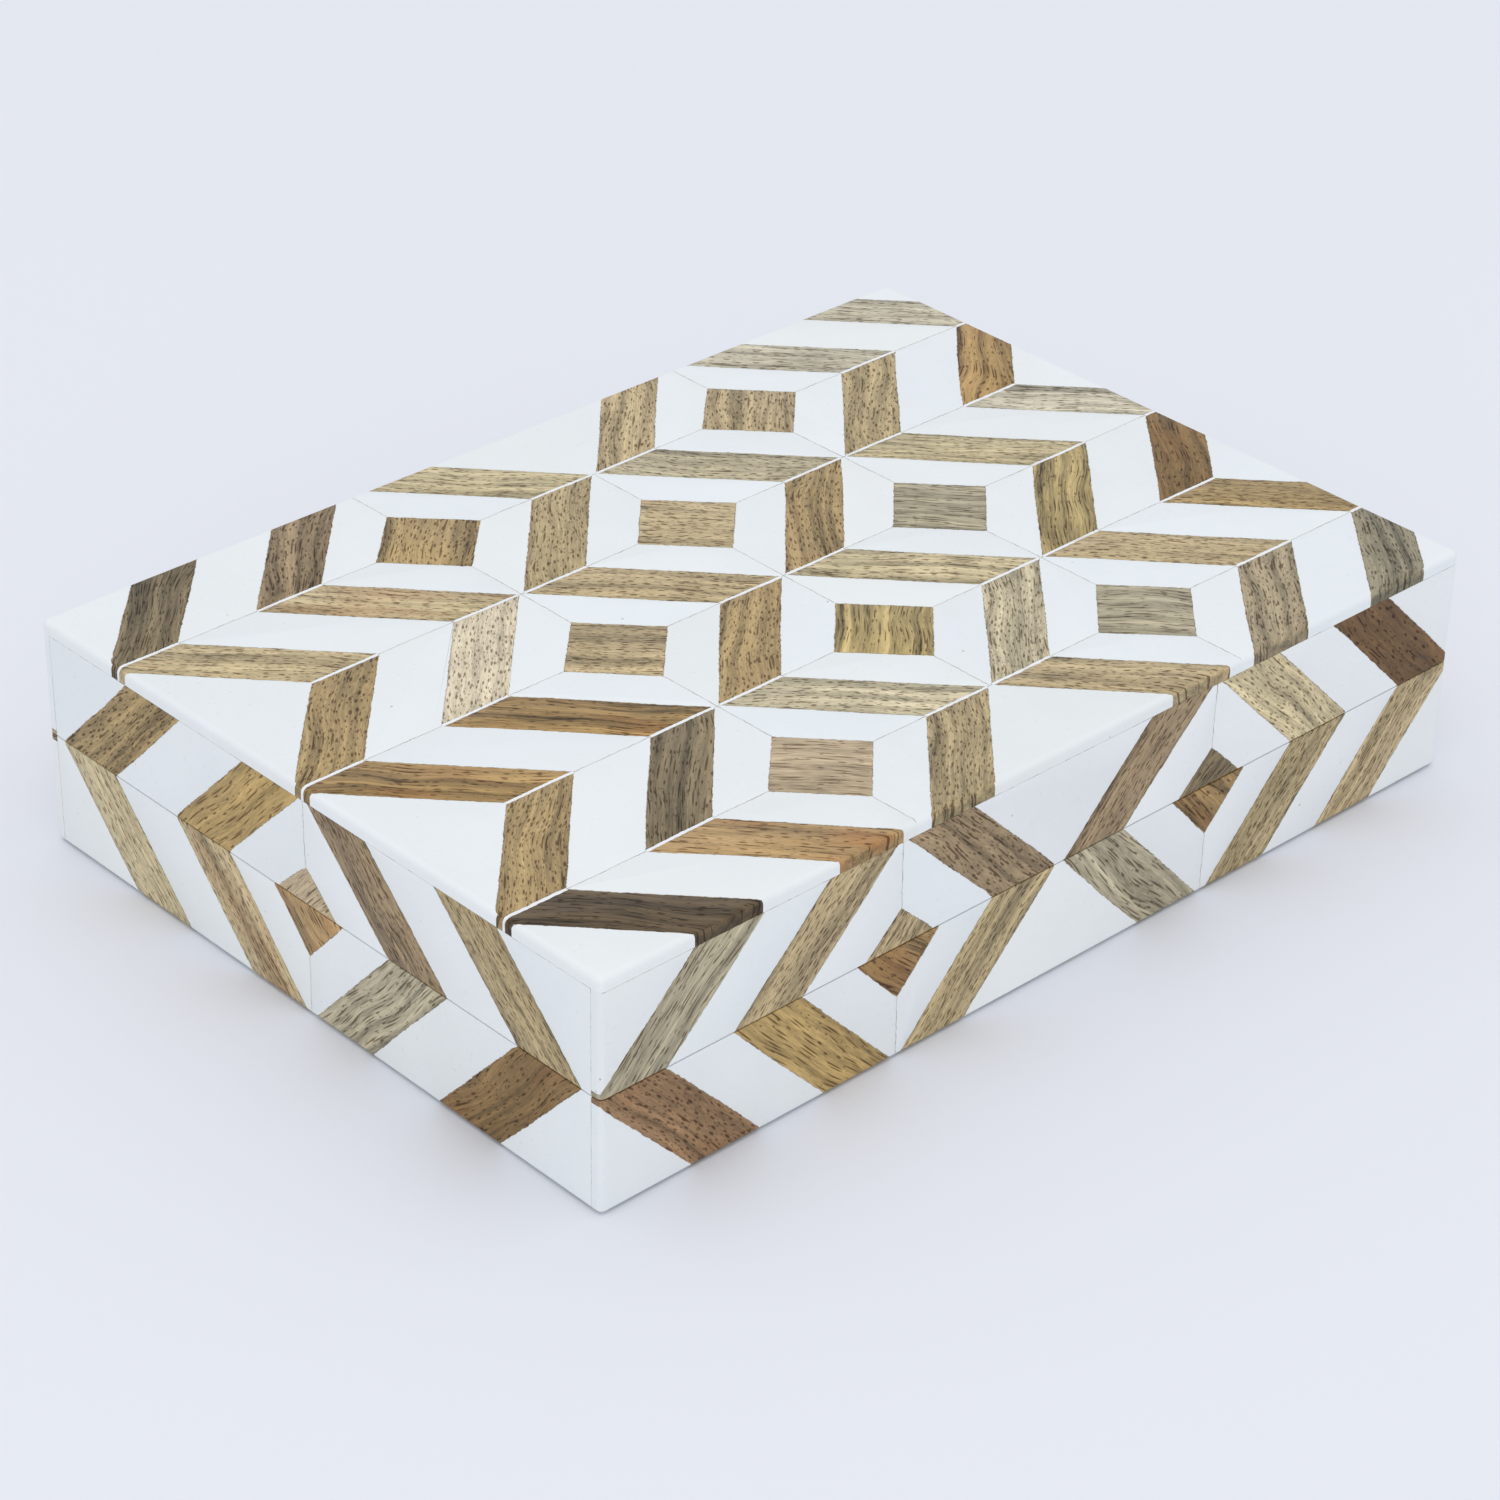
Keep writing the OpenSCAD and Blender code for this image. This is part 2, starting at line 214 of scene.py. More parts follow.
def evaluated(piece):
    """The piece's mesh with its modifiers applied; the piece itself is thrown away."""
    bpy.context.view_layer.update()
    graph = bpy.context.evaluated_depsgraph_get()
    seen = piece.evaluated_get(graph)
    mesh = bpy.data.meshes.new_from_object(seen, preserve_all_data_layers=True, depsgraph=graph)
    throw_away(piece)
    return mesh


def loose_piece(name, mesh):
    piece = bpy.data.objects.new(name, mesh)
    bpy.context.scene.collection.objects.link(piece)
    return piece


def planed_board(node):
    """The board's shape with its loose triangles joined, and its sharp edges broken."""
    shape = bmesh.new()
    shape.from_mesh(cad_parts[node].data)
    bmesh.ops.remove_doubles(shape, verts=shape.verts, dist=0.0005 * MM)
    bmesh.ops.dissolve_limit(
        shape, angle_limit=math.radians(0.5), verts=shape.verts, edges=shape.edges
    )
    mesh = bpy.data.meshes.new(node + "_shape")
    shape.to_mesh(mesh)
    shape.free()
    board = loose_piece(node + "_shape", mesh)
    edge = board.modifiers.new("broken edges", "BEVEL")
    edge.width = BROKEN_EDGE * MM
    edge.segments = 2
    edge.limit_method = "ANGLE"
    edge.angle_limit = math.radians(50)
    return evaluated(board)


carcass_along = {along: carcass_wood(along) for along in ("x", "y")}
for half in ("base", "lid"):
    finished(half + "_plain_board", planed_board(half + "_board"), half, "carcass_wood",
             carcass_along["x"], half + "_board")
    for side, along in CARCASS_TURN.items():
        node = f"{half}_{side}_wall"
        finished(node + "_board", planed_board(node), half, "carcass_wood",
                 carcass_along[along], node)


# ---------------------------------------------------------------------------------------------
# The inlay on the sides: thin strips and half diamonds of many woods between white resin tiles.
# They are sawn by hand, glued edge to edge over the walls, then sanded level and varnished.
# The long plates cover the ends of the short ones, and every outer edge is rounded over.

SIDE_STRIP = 16.6
SIDE_NODE = 1.3
LONG_PATTERN = (SIDE_STRIP, 24.0, SIDE_NODE, 16.0, SIDE_STRIP, True)
SHORT_PATTERN = (SIDE_STRIP, 23.6, SIDE_NODE, 19.4, 17.0, False)
SIDE_DIAMOND = {"lid": (8.6, 8.1), "base": (10.2, 11.0)}
SAW_STEP = 0.45
WELD = 0.002
SHARP_ANGLE = 24
JOINT_WIDTH = 0.14
JOINT_DEPTH = 0.05
OUTER_ROUND = 1.25
INNER_JOINT = 0.6
END_SHADE = 0.3
FOOT_ROUND = 0.55
SEAM_ROUND = 0.22
SHORT_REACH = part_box("base_left_white")[1].y / MM

# How a saw strays from its line: over how many mm, and how far. Near a border it strays less.
SAW_STRAYS = ((31, 0.35), (6.3, 0.12), (0.7, 0.17))
BORDER_REACH = 1.5

# Each wood: its colour, how many of its pores are short dashes and how many are long lines,
# how strong its streaks are, and how much of a warm patch it shows.
WOODS = {
    "bog oak": ((86, 72, 53), 0.4, 0.7, 1.3, 0.0),
    "smoked oak": ((116, 103, 79), 0.5, 0.9, 1.2, 0.0),
    "rosewood": ((108, 81, 51), 0.5, 0.3, 1.1, 0.0),
    "dark walnut": ((122, 97, 61), 0.5, 0.4, 1.2, 0.1),
    "walnut": ((146, 119, 77), 0.5, 0.4, 1.4, 0.2),
    "plum": ((139, 110, 80), 1.0, 0.1, 0.9, 0.15),
    "fumed oak": ((141, 122, 95), 0.9, 0.5, 1.0, 0.0),
    "driftwood": ((129, 122, 102), 0.8, 0.5, 1.0, 0.0),
    "apricot": ((167, 138, 96), 0.5, 0.5, 0.8, 0.4),
    "teak": ((154, 132, 93), 1.0, 0.2, 1.0, 0.0),
    "golden teak": ((166, 140, 91), 0.2, 1.0, 0.8, 0.0),
    "limed oak": ((152, 138, 112), 1.0, 0.4, 0.8, 0.0),
    "weathered oak": ((163, 154, 130), 0.3, 1.0, 0.9, 0.0),
    "oak": ((163, 146, 111), 1.0, 0.1, 0.9, 0.0),
    "elm": ((170, 152, 118), 1.0, 0.3, 0.9, 0.0),
    "olive": ((161, 142, 97), 0.3, 0.7, 1.5, 0.0),
    "lemonwood": ((177, 160, 125), 1.0, 0.2, 0.9, 0.2),
    "pear": ((176, 158, 130), 0.2, 1.0, 0.6, 0.0),
    "ash": ((180, 169, 141), 1.0, 0.4, 0.9, 0.0),
    "grey ash": ((177, 170, 150), 0.6, 0.6, 0.8, 0.0),
    "maple": ((183, 169, 135), 0.8, 0.3, 0.9, 0.0),
    "pink beech": ((200, 187, 162), 1.0, 0.0, 0.5, 0.0),
}

FRONT_WOODS = {
    "lid": ("weathered oak", "elm", "fumed oak", "fumed oak", "maple", "rosewood"),
    "base": ("plum", "golden teak", "oak", "weathered oak", "oak", "elm"),
}
FRONT_DIAMONDS = {"lid": ("elm", "smoked oak"), "base": ("walnut", "walnut")}
LEFT_WOODS = {
    "lid": ("teak", "golden teak", "fumed oak", "oak"),
    "base": ("maple", "lemonwood", "weathered oak", "dark walnut"),
}
LEFT_DIAMONDS = {"lid": ("pear",), "base": ("apricot",)}
BACK_WOODS = {
    "lid": ("oak", "maple", "teak", "grey ash", "walnut", "lemonwood"),
    "base": ("elm", "bog oak", "ash", "apricot", "oak", "limed oak"),
}
BACK_DIAMONDS = {"lid": ("olive", "maple"), "base": ("grey ash", "walnut")}
RIGHT_WOODS = {
    "lid": ("ash", "walnut", "elm", "limed oak"),
    "base": ("olive", "grey ash", "teak", "maple"),
}
RIGHT_DIAMONDS = {"lid": ("apricot",), "base": ("oak",)}
WHITE = (234, 238, 240)

# One seed for every draw and for the saw marks, so that each box comes out the same.
SEED = 812
draw = random.Random(SEED)
noise.seed_set(SEED)


class Panel:
    """One flat face of the box. A place on it is (across, up, out) in mm, seen from outside."""

    def __init__(self, middle, across, up, low, high, thick, free):
        self.middle = Vector(middle)
        self.across = Vector(across)
        self.up = Vector(up)
        self.out = self.across.cross(self.up)
        self.low = low
        self.high = high
        self.thick = thick
        self.free = free
        self.seed = draw.uniform(10, 90)

    def place(self, point, out):
        return self.middle + self.across * point[0] + self.up * point[1] + self.out * out

    def clipped(self, outline):
        """The part of an outline that lies on the panel, turning anticlockwise."""
        for axis in (0, 1):
            for limit, keep in ((self.low[axis], 1), (self.high[axis], -1)):
                kept = []
                for a, b in zip(outline, outline[1:] + outline[:1]):
                    inside_a = keep * (a[axis] - limit) >= 0
                    inside_b = keep * (b[axis] - limit) >= 0
                    if inside_a:
                        kept.append(a)
                    if inside_a != inside_b:
                        share = (limit - a[axis]) / (b[axis] - a[axis])
                        kept.append(tuple(a[k] + (b[k] - a[k]) * share for k in (0, 1)))
                outline = kept
                if len(outline) < 3:
                    return []
        tidy = [a for a, b in zip(outline, outline[1:] + outline[:1]) if math.dist(a, b) > 0.02]
        area = sum(a[0] * b[1] - b[0] * a[1] for a, b in zip(tidy, tidy[1:] + tidy[:1])) / 2
        if abs(area) < 0.05:
            return []
        return tidy if area > 0 else tidy[::-1]

    def on_free_edge(self, a, b):
        """Whether the line from a to b is an outer edge of the box, with no tile beyond it."""
        for axis, border, name in ((0, self.low, "left"), (0, self.high, "right"),
                                   (1, self.low, "bottom"), (1, self.high, "top")):
            near = abs(a[axis] - border[axis]) < 0.01 and abs(b[axis] - border[axis]) < 0.01
            if near and name in self.free:
                return True
        return False

    def sawn(self, point):
        """Where a saw really passes: it wanders slowly and leaves small teeth."""
        spot = Vector((point[0], point[1], self.seed))
        move = Vector((0, 0, 0))
        for span, reach in SAW_STRAYS:
            move += noise.noise_vector(spot / span) * reach
        here = []
        for axis in (0, 1):
            room = min(point[axis] - self.low[axis], self.high[axis] - point[axis])
            here.append(point[axis] + move[axis] * min(1.0, max(0.0, room / BORDER_REACH)))
        return Vector(here)


def inner_line(edge, width):
    """The outline moved inwards by a width of its own for each of its steps."""
    inner = []
    for i, here in enumerate(edge):
        before = (here - edge[i - 1]).normalized()
        after = (edge[(i + 1) % len(edge)] - here).normalized()
        first = Vector((-before.y, before.x))
        second = Vector((-after.y, after.x))
        turn = first.x * second.y - first.y * second.x
        if abs(turn) > 0.08:
            move = Vector((
                (width[i - 1] * second.y - width[i] * first.y) / turn,
                (width[i] * first.x - width[i - 1] * second.x) / turn,
            ))
        else:
            move = (first + second) / 2 * (width[i - 1] + width[i]) / 2
        if move.length > 3 * JOINT_WIDTH:
            move = move.normalized() * 3 * JOINT_WIDTH
        inner.append(here + move)
    return inner


def sawn_tile(panel, outline):
    """One closed tile in mm: a face, a fine worn edge, sawn walls and a back."""
    edge = []
    width = []
    for a, b in zip(outline, outline[1:] + outline[:1]):
        steps = max(1, round(math.dist(a, b) / SAW_STEP))
        free = panel.on_free_edge(a, b)
        for i in range(steps):
            edge.append(panel.sawn([a[k] + (b[k] - a[k]) * i / steps for k in (0, 1)]))
            width.append(0.0 if free else JOINT_WIDTH)
    inner = inner_line(edge, width)
    drop = [-JOINT_DEPTH if width[i] and width[i - 1] else 0.0 for i in range(len(edge))]
    shape = bmesh.new()
    face = [shape.verts.new(panel.place(p, 0)) for p in inner]
    worn = [shape.verts.new(panel.place(p, d)) for p, d in zip(edge, drop)]
    back = [shape.verts.new(panel.place(p, -panel.thick)) for p in edge]
    shape.faces.new(face)
    shape.faces.new(back[::-1])
    for i in range(len(edge)):
        j = (i + 1) % len(edge)
        shape.faces.new((face[i], worn[i], worn[j], face[j]))
        shape.faces.new((worn[i], back[i], back[j], worn[j]))
    bmesh.ops.remove_doubles(shape, verts=shape.verts, dist=WELD)
    return shape


def split_for_rounding(shape, cuts):
    """Adds lines of points where the outer edges will be rounded."""
    points = np.array([v.co for v in shape.verts])
    low, high = points.min(axis=0), points.max(axis=0)
    for axis, value in cuts:
        if low[axis] + 0.01 < value < high[axis] - 0.01:
            at = Vector((0, 0, 0))
            at[axis] = value
            way = Vector((0, 0, 0))
            way[axis] = 1
            everything = shape.verts[:] + shape.edges[:] + shape.faces[:]
            bmesh.ops.bisect_plane(shape, geom=everything, dist=WELD, plane_co=at, plane_no=way)


def rounding_lines(radius):
    """Distances from an edge that share a quarter round out evenly, and one just beyond it."""
    turns = (0.0, 11.25, 22.5, 33.75)
    return [radius * 1.2] + [radius * (1 - math.tan(math.radians(turn))) for turn in turns]


HALF_LENGTH = cad_high.x / MM
HALF_DEPTH = -cad_low.y / MM
HALF_HEIGHT = {"base": (0.0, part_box("base_front_white")[1].z / MM),
               "lid": (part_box("lid_front_white")[0].z / MM, cad_high.z / MM)}


def rounding_cuts(half):
    floor, roof = HALF_HEIGHT[half]
    below, above = (FOOT_ROUND, SEAM_ROUND) if half == "base" else (SEAM_ROUND, OUTER_ROUND)
    cuts = []
    for line in rounding_lines(OUTER_ROUND) + rounding_lines(SEAM_ROUND):
        for sign in (-1, 1):
            cuts.append((0, sign * (HALF_LENGTH - line)))
            cuts.append((1, sign * (HALF_DEPTH - line)))
    cuts += [(2, floor + line) for line in rounding_lines(below)]
    cuts += [(2, roof - line) for line in rounding_lines(above)]
    return cuts


def rounded(points, half):
    """Moves the points beyond a rounded edge of the box onto it."""
    floor, roof = HALF_HEIGHT[half]
    below, above = (FOOT_ROUND, SEAM_ROUND) if half == "base" else (SEAM_ROUND, OUTER_ROUND)
    reach = np.array([HALF_LENGTH, HALF_DEPTH]) - OUTER_ROUND
    flat = points[:, :2]
    core = np.clip(flat, -reach, reach)
    arm = flat - core
    length = np.linalg.norm(arm, axis=1)
    outer = length > 1e-6
    way = np.where(outer[:, None], arm / np.maximum(length, 1e-9)[:, None], 0.0)
    inset = np.where(outer, np.maximum(OUTER_ROUND - length, 0.0), OUTER_ROUND)
    height = points[:, 2].copy()
    for limit, sign, radius in ((roof, 1, above), (floor, -1, below)):
        depth = np.maximum(sign * (limit - height), 0.0)
        near = outer & (inset < radius) & (depth < radius)
        far = np.hypot(radius - inset, radius - depth)
        move = near & (far > radius)
        scale = np.where(move, radius / np.maximum(far, 1e-9), 1.0)
        inset = np.where(move, radius - (radius - inset) * scale, inset)
        height = np.where(move, limit - sign * (radius - (radius - depth) * scale), height)
    result = points.copy()
    result[:, :2] = np.where(outer[:, None], core + way * (OUTER_ROUND - inset)[:, None], flat)
    result[:, 2] = height
    return result


def with_hinge_room(shape, rooms):
    """The tile with the hinge recesses cut out of it, where they meet."""
    points = np.array([v.co for v in shape.verts])
    low, high = points.min(axis=0), points.max(axis=0)
    for room in rooms:
        corners = np.array([v.co for v in room.data.vertices])
        if (low > corners.max(axis=0)).any() or (high < corners.min(axis=0)).any():
            continue
        mesh = bpy.data.meshes.new("tile")
        shape.to_mesh(mesh)
        tile = loose_piece("tile", mesh)
        cut = tile.modifiers.new("recess", "BOOLEAN")
        cut.object = room
        cut.solver = "EXACT"
        mesh = evaluated(tile)
        shape.free()
        shape = bmesh.new()
        shape.from_mesh(mesh)
        bpy.data.meshes.remove(mesh)
    return shape


def shade_smoothly(mesh):
    """Smooth shading that keeps the sawn edges sharp."""
    mesh.shade_smooth()
    mesh.set_sharp_from_angle(angle=math.radians(SHARP_ANGLE))


def inlay(name, node, half, slot, material, panel, tiles, rooms=()):
    """One piece from many tiles, each (outline, grain direction, wood)."""
    points, faces, grain, tone, figure, rim = [], [], [], [], [], []
    start = 0
    cuts = rounding_cuts(half)
    for outline, direction, colour, habit in tiles:
        outline = panel.clipped(outline)
        offset = np.array([draw.uniform(0, 400) for _ in range(3)])
        if not outline:
            continue
        shape = with_hinge_room(sawn_tile(panel, outline), rooms)
        split_for_rounding(shape, cuts)
        shape.verts.index_update()
        own = np.array([v.co for v in shape.verts])
        faces += [[v.index + start for v in f.verts] for f in shape.faces]
        shape.free()
        start += len(own)
        axes = np.array([panel.across, panel.up, panel.out])
        local = (own - np.array(panel.middle)) @ axes.T
        cos, sin = math.cos(direction), math.sin(direction)
        along = local[:, 0] * cos + local[:, 1] * sin
        beside = local[:, 1] * cos - local[:, 0] * sin
        grain.append(np.stack([along, beside, local[:, 2]], axis=1) + offset)
        end_grain = np.clip(-local[:, 2] / OUTER_ROUND - 0.2, 0.0, 1.0) * END_SHADE * any(habit)
        tone.append(np.tile(colour, (len(own), 1)) * (1 - end_grain)[:, None])
        figure.append(np.tile(habit, (len(own), 1)))
        room = np.minimum(local[:, :2] - panel.low, panel.high - local[:, :2]).min(axis=1)
        at_joint = np.abs(local[:, 2] + JOINT_DEPTH) < 0.004
        rim.append(at_joint * np.where(room < 3 * JOINT_WIDTH, 1.0, INNER_JOINT))
        points.append(own)
    mesh = bpy.data.meshes.new(name)
    place = rounded(np.concatenate(points), half) * MM
    mesh.from_pydata(place.tolist(), [], faces)
    for label, kind, values in (("grain", "FLOAT_VECTOR", grain), ("tone", "FLOAT_COLOR", tone),
                                ("figure", "FLOAT_VECTOR", figure), ("rim", "FLOAT", rim)):
        layer = mesh.attributes.new(label, kind, "POINT")
        key = {"FLOAT_VECTOR": "vector", "FLOAT_COLOR": "color", "FLOAT": "value"}[kind]
        layer.data.foreach_set(key, np.concatenate(values).astype(np.float32).ravel())
    mesh.validate()
    shade_smoothly(mesh)
    return finished(name, mesh, half, slot, material, node)


def wood_colour(name):
    """A wood's colour with the small difference from one plank to the next, and its habit."""
    colour, dashes, lines, streaks, patch = WOODS[name]
    shade = draw.uniform(0.97, 1.03)
    return [c * shade for c in light(*colour)[:3]] + [patch], (dashes, lines, streaks)


def white_colour():
    shade = draw.uniform(0.975, 1.01)
    warm = draw.uniform(-0.008, 0.008)
    red, green, blue, _ = light(*WHITE)
    return [red * shade + warm, green * shade, blue * shade - warm, 1.0], (0.0, 0.0, 0.0)


def pores_of(wood, run, side, length, width, share, edge=0.27):
    """Pores cut open along the grain, in mm: one to a cell, in that share of the cells."""
    cell = wood.cells(wood.joined(run * (1 / length), side * (1 / width), 0.0), "2D")
    chance, size, _ = wood.parts_of(cell.also("Color"))
    return wood.step(cell + size * 0.12, edge, edge * 0.5) * wood.step(share - chance, 0.0, 0.03)


def inlay_wood(name):
    """Varnished wood: dark pores and soft streaks along the grain, with end grain at the edges."""
    wood = Finish(name)
    grain = wood.stored("grain")
    tone = wood.stored("tone", "Color")
    patch = tone.also("Alpha")
    dashes, lines, streaks = wood.parts_of(wood.stored("figure"))
    run, side, deep = wood.parts_of(grain)
    bend = wood.cloud(wood.joined(run * 0.035, side * 0.06, deep * 0.06), 1.0)
    side = side + bend * streaks * 7
    pore = pores_of(wood, run, side, 3.6, 0.95, dashes, 0.31)
    pore = pore + pores_of(wood, run, side + 31, 2.2, 0.7, dashes * 0.8) * 0.8
    pore = pore + pores_of(wood, run, side + 57, 12.0, 0.75, lines, 0.33)
    pore = pore.maths("MINIMUM", pore, 1.0)
    bands = wood.cloud(wood.joined(run * 0.012, side * 0.5, deep * 0.5), 3.0, 0.65)
    mottle = wood.cloud(wood.joined(run * 0.09, side * 0.2, deep * 0.2), 2.0)
    fibre = wood.cloud(wood.joined(run * 0.35, side * 3.4, deep * 3.4), 3.0, 0.6)
    warm = wood.cloud(wood.joined(run * 0.035, side * 0.14, deep * 0.14), 1.0)
    warm = wood.step(warm, 0.5, 0.66) * patch
    shade = 1.16 + (bands - 0.5) * streaks * 3.0 + (mottle - 0.5) * 0.8 + (fibre - 0.5) * 1.5
    tone = wood.shaded(tone, shade)
    tone = wood.blend(warm, tone, light(172, 104, 52))
    tone = wood.blend(pore * 0.85, tone, wood.times(tone, 0.27, 0.21, 0.17))
    stain = wood.cloud(wood.times(grain, 0.6, 0.6, 0.6), 2.0)
    joint = wood.step(wood.stored("rim", "Fac"), 0.05, 0.45) * wood.step(stain, 0.35, 0.6) * 0.7
    tone = wood.blend(joint, tone, light(74, 56, 38))
    roughness = 0.46 + pore * 0.2 + (fibre - 0.5) * 0.12
    return wood.surface(tone, roughness, fibre * 0.4 - pore, 0.015 * MM, Specular_IOR_Level=0.22)


def white_resin(name):
    """Cast white resin, sanded and polished: faint clouds, few specks, joints stained by glue."""
    resin = Finish(name)
    grain = resin.stored("grain")
    tone = resin.stored("tone", "Color")
    cloud = resin.cloud(resin.times(grain, 0.05, 0.05, 0.05), 3.0, 0.6)
    mottle = resin.cloud(resin.times(grain, 0.9, 0.9, 0.9), 2.0)
    shade = 1.0 + (cloud - 0.5) * 0.07 + (mottle - 0.5) * 0.03
    tone = resin.shaded(tone, shade)
    specks = resin.cells(resin.times(grain, 0.16, 0.16, 0.16))
    chance = resin.parts_of(specks.also("Color"))[0]
    speck = resin.step(specks, 0.05, 0.03) * resin.step(chance, 0.7, 0.72)
    tone = resin.blend(speck * 0.6, tone, light(150, 124, 92))
    rim = resin.stored("rim", "Fac")
    stain = resin.cloud(resin.times(grain, 0.4, 0.4, 0.4), 3.0, 0.65)
    tone = resin.blend(resin.step(rim, 0.0, 0.3) * 0.65, tone, light(190, 182, 170))
    dirt = resin.step(rim, 0.05, 0.7) * resin.step(stain, 0.48, 0.6)
    tone = resin.blend(dirt, tone, light(104, 82, 60))
    return resin.surface(tone, 0.3 + (mottle - 0.5) * 0.12, mottle, 0.01 * MM,
                         Specular_IOR_Level=0.35)


def strip_places(pattern):
    """The wood strips of half a row: start on the point line, width and lean."""
    strip, half_frame, gap, band, last, zigzag = pattern
    lean = half_frame - gap
    second = 2 * half_frame + gap + strip
    if zigzag:
        return [(gap, strip, lean), (second, strip, -lean), (second + strip + band, last, -lean)]
    return [(gap, strip, lean), (gap + strip + band, last, lean)]


def half_period(pattern):
    return pattern[0] + pattern[1] + pattern[2]


def slant(start, width, lean, y0, y1, cut=0.0):
    """A slanted band of a row, from the point line y0 to the diamond line y1."""
    share = cut / abs(y1 - y0)
    turn = math.copysign(cut, y1 - y0)
    return [
        (start + lean * share, y0 + turn),
        (start + width + lean * share, y0 + turn),
        (start + width + lean * (1 - share), y1 - turn),
        (start + lean * (1 - share), y1 - turn),
    ]


def mirrored(outline):
    return [(-x, y) for x, y in outline]


def strip_row(pattern, y0, y1, cut=0.0):
    """The strips of one row from left to right, each with its grain's direction."""
    row = []
    for start, width, lean in strip_places(pattern):
        outline = slant(start, width, lean, y0, y1, cut)
        direction = math.atan2(y1 - y0, lean)
        row.append((outline, direction))
        row.insert(0, (mirrored(outline), math.pi - direction))
    return row


def white_bands(pattern, y0, y1):
    """The white band before the last strip, on both sides."""
    start, _, lean = strip_places(pattern)[-1]
    outline = slant(start - pattern[3], pattern[3], lean, y0, y1)
    return [outline, mirrored(outline)]


def outer_fields(pattern, diamond_y, low, high):
    """The white field beyond the last strips, on both sides, from one point line to the next."""
    start, width, lean = strip_places(pattern)[-1]
    start += width
    far = 2 * HALF_LENGTH
    outline = [(start, low), (far, low), (far, high), (start, high), (start + lean, diamond_y)]
    return [outline, mirrored(outline)]


def whole_frame(pattern, y0, y1):
    _, wide, narrow, _, _, _ = pattern
    return [[(-wide, y0), (wide, y0), (narrow, y1), (-narrow, y1)]]


def mitred_frame(pattern, diamond, y0, y1):
    """Half of a white frame round a diamond on y0, in two tiles that meet above its tip."""
    _, wide, narrow, _, _, _ = pattern
    tip = math.copysign(diamond[1], y1 - y0)
    outline = [(diamond[0], y0), (wide, y0), (narrow, y1), (0.0, y1), (0.0, y0 + tip)]
    return [outline, mirrored(outline)]


def moved(outline, x):
    return [(point[0] + x, point[1]) for point in outline]


def diamond_places(pattern, on_point_line):
    if not on_point_line:
        return (0.0,)
    return (-half_period(pattern), half_period(pattern)) if pattern[5] else ()


def side_tiles(half, long):
    """Outlines of one side plate: strips, half diamonds and white tiles."""
    pattern = LONG_PATTERN if long else SHORT_PATTERN
    floor, roof = HALF_HEIGHT[half]
    seam, edge = (roof, floor) if half == "base" else (floor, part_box("lid_top_white")[0].z / MM)
    point_z, diamond_z = (seam, edge) if long else (edge, seam)
    diamond = SIDE_DIAMOND[half]
    strips = strip_row(pattern, point_z, diamond_z)
    diamonds = []
    white = white_bands(pattern, point_z, diamond_z)
    white += outer_fields(pattern, diamond_z, *sorted((point_z, 2 * diamond_z - point_z)))
    for x in diamond_places(pattern, not long):
        white += [moved(tile, x) for tile in whole_frame(pattern, edge, seam)]
    for x in diamond_places(pattern, long):
        white += [moved(tile, x) for tile in mitred_frame(pattern, diamond, seam, edge)]
        tip = math.copysign(diamond[1], edge - seam)
        diamonds.append([(x - diamond[0], seam), (x + diamond[0], seam), (x, seam + tip)])
    return strips, diamonds, white


strip_wood = inlay_wood("strip_wood")
diamond_wood = inlay_wood("diamond_wood")
resin = white_resin("white_resin")
PLATE = (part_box("base_front_white")[1].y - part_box("base_front_white")[0].y) / MM
SIDES = {
    "front": ((0, -HALF_DEPTH, 0), (1, 0, 0), FRONT_WOODS, FRONT_DIAMONDS),
    "back": ((0, HALF_DEPTH, 0), (-1, 0, 0), BACK_WOODS, BACK_DIAMONDS),
    "left": ((-HALF_LENGTH, 0, 0), (0, -1, 0), LEFT_WOODS, LEFT_DIAMONDS),
    "right": ((HALF_LENGTH, 0, 0), (0, 1, 0), RIGHT_WOODS, RIGHT_DIAMONDS),
}

# Room for the hinges behind the back edge: a flat pocket for both leaves and one for the barrel.
HINGE_LENGTH = 25.0
HINGE_ROOM = 0.2
LEAF = 0.8
BARREL_ROOM = 1.9
PIN_HEAD = 0.6
POCKET_DEPTH = 12.0
POCKET_INSET = 4.0
pin_low, pin_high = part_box("hinge_pins")
PIN_Y = (pin_low.y + pin_high.y) / 2 / MM
PIN_Z = (pin_low.z + pin_high.z) / 2 / MM
HINGE_X = pin_high.x / MM - PIN_HEAD - HINGE_LENGTH / 2


def hinge_room(round_barrel):
    shape = bmesh.new()
    for x in (-HINGE_X, HINGE_X):
        if round_barrel:
            length = HINGE_LENGTH + 2 * (PIN_HEAD + HINGE_ROOM)
            turn = Matrix.Translation((x, PIN_Y, PIN_Z)) @ Matrix.Rotation(math.pi / 2, 4, "Y")
            bmesh.ops.create_cone(shape, cap_ends=True, segments=48, radius1=BARREL_ROOM,
                                  radius2=BARREL_ROOM, depth=length, matrix=turn)
        else:
            height = PIN_Z - HALF_HEIGHT["base"][1] + LEAF
            size = (HINGE_LENGTH + 2 * HINGE_ROOM, POCKET_DEPTH, 2 * height, 1.0)
            turn = Matrix.Translation((x, PIN_Y - POCKET_INSET, PIN_Z)) @ Matrix.Diagonal(size)
            bmesh.ops.create_cube(shape, size=1.0, matrix=turn)
    mesh = bpy.data.meshes.new("hinge_room")
    shape.to_mesh(mesh)
    shape.free()
    room = loose_piece("hinge_room", mesh)
    room.hide_render = True
    return room


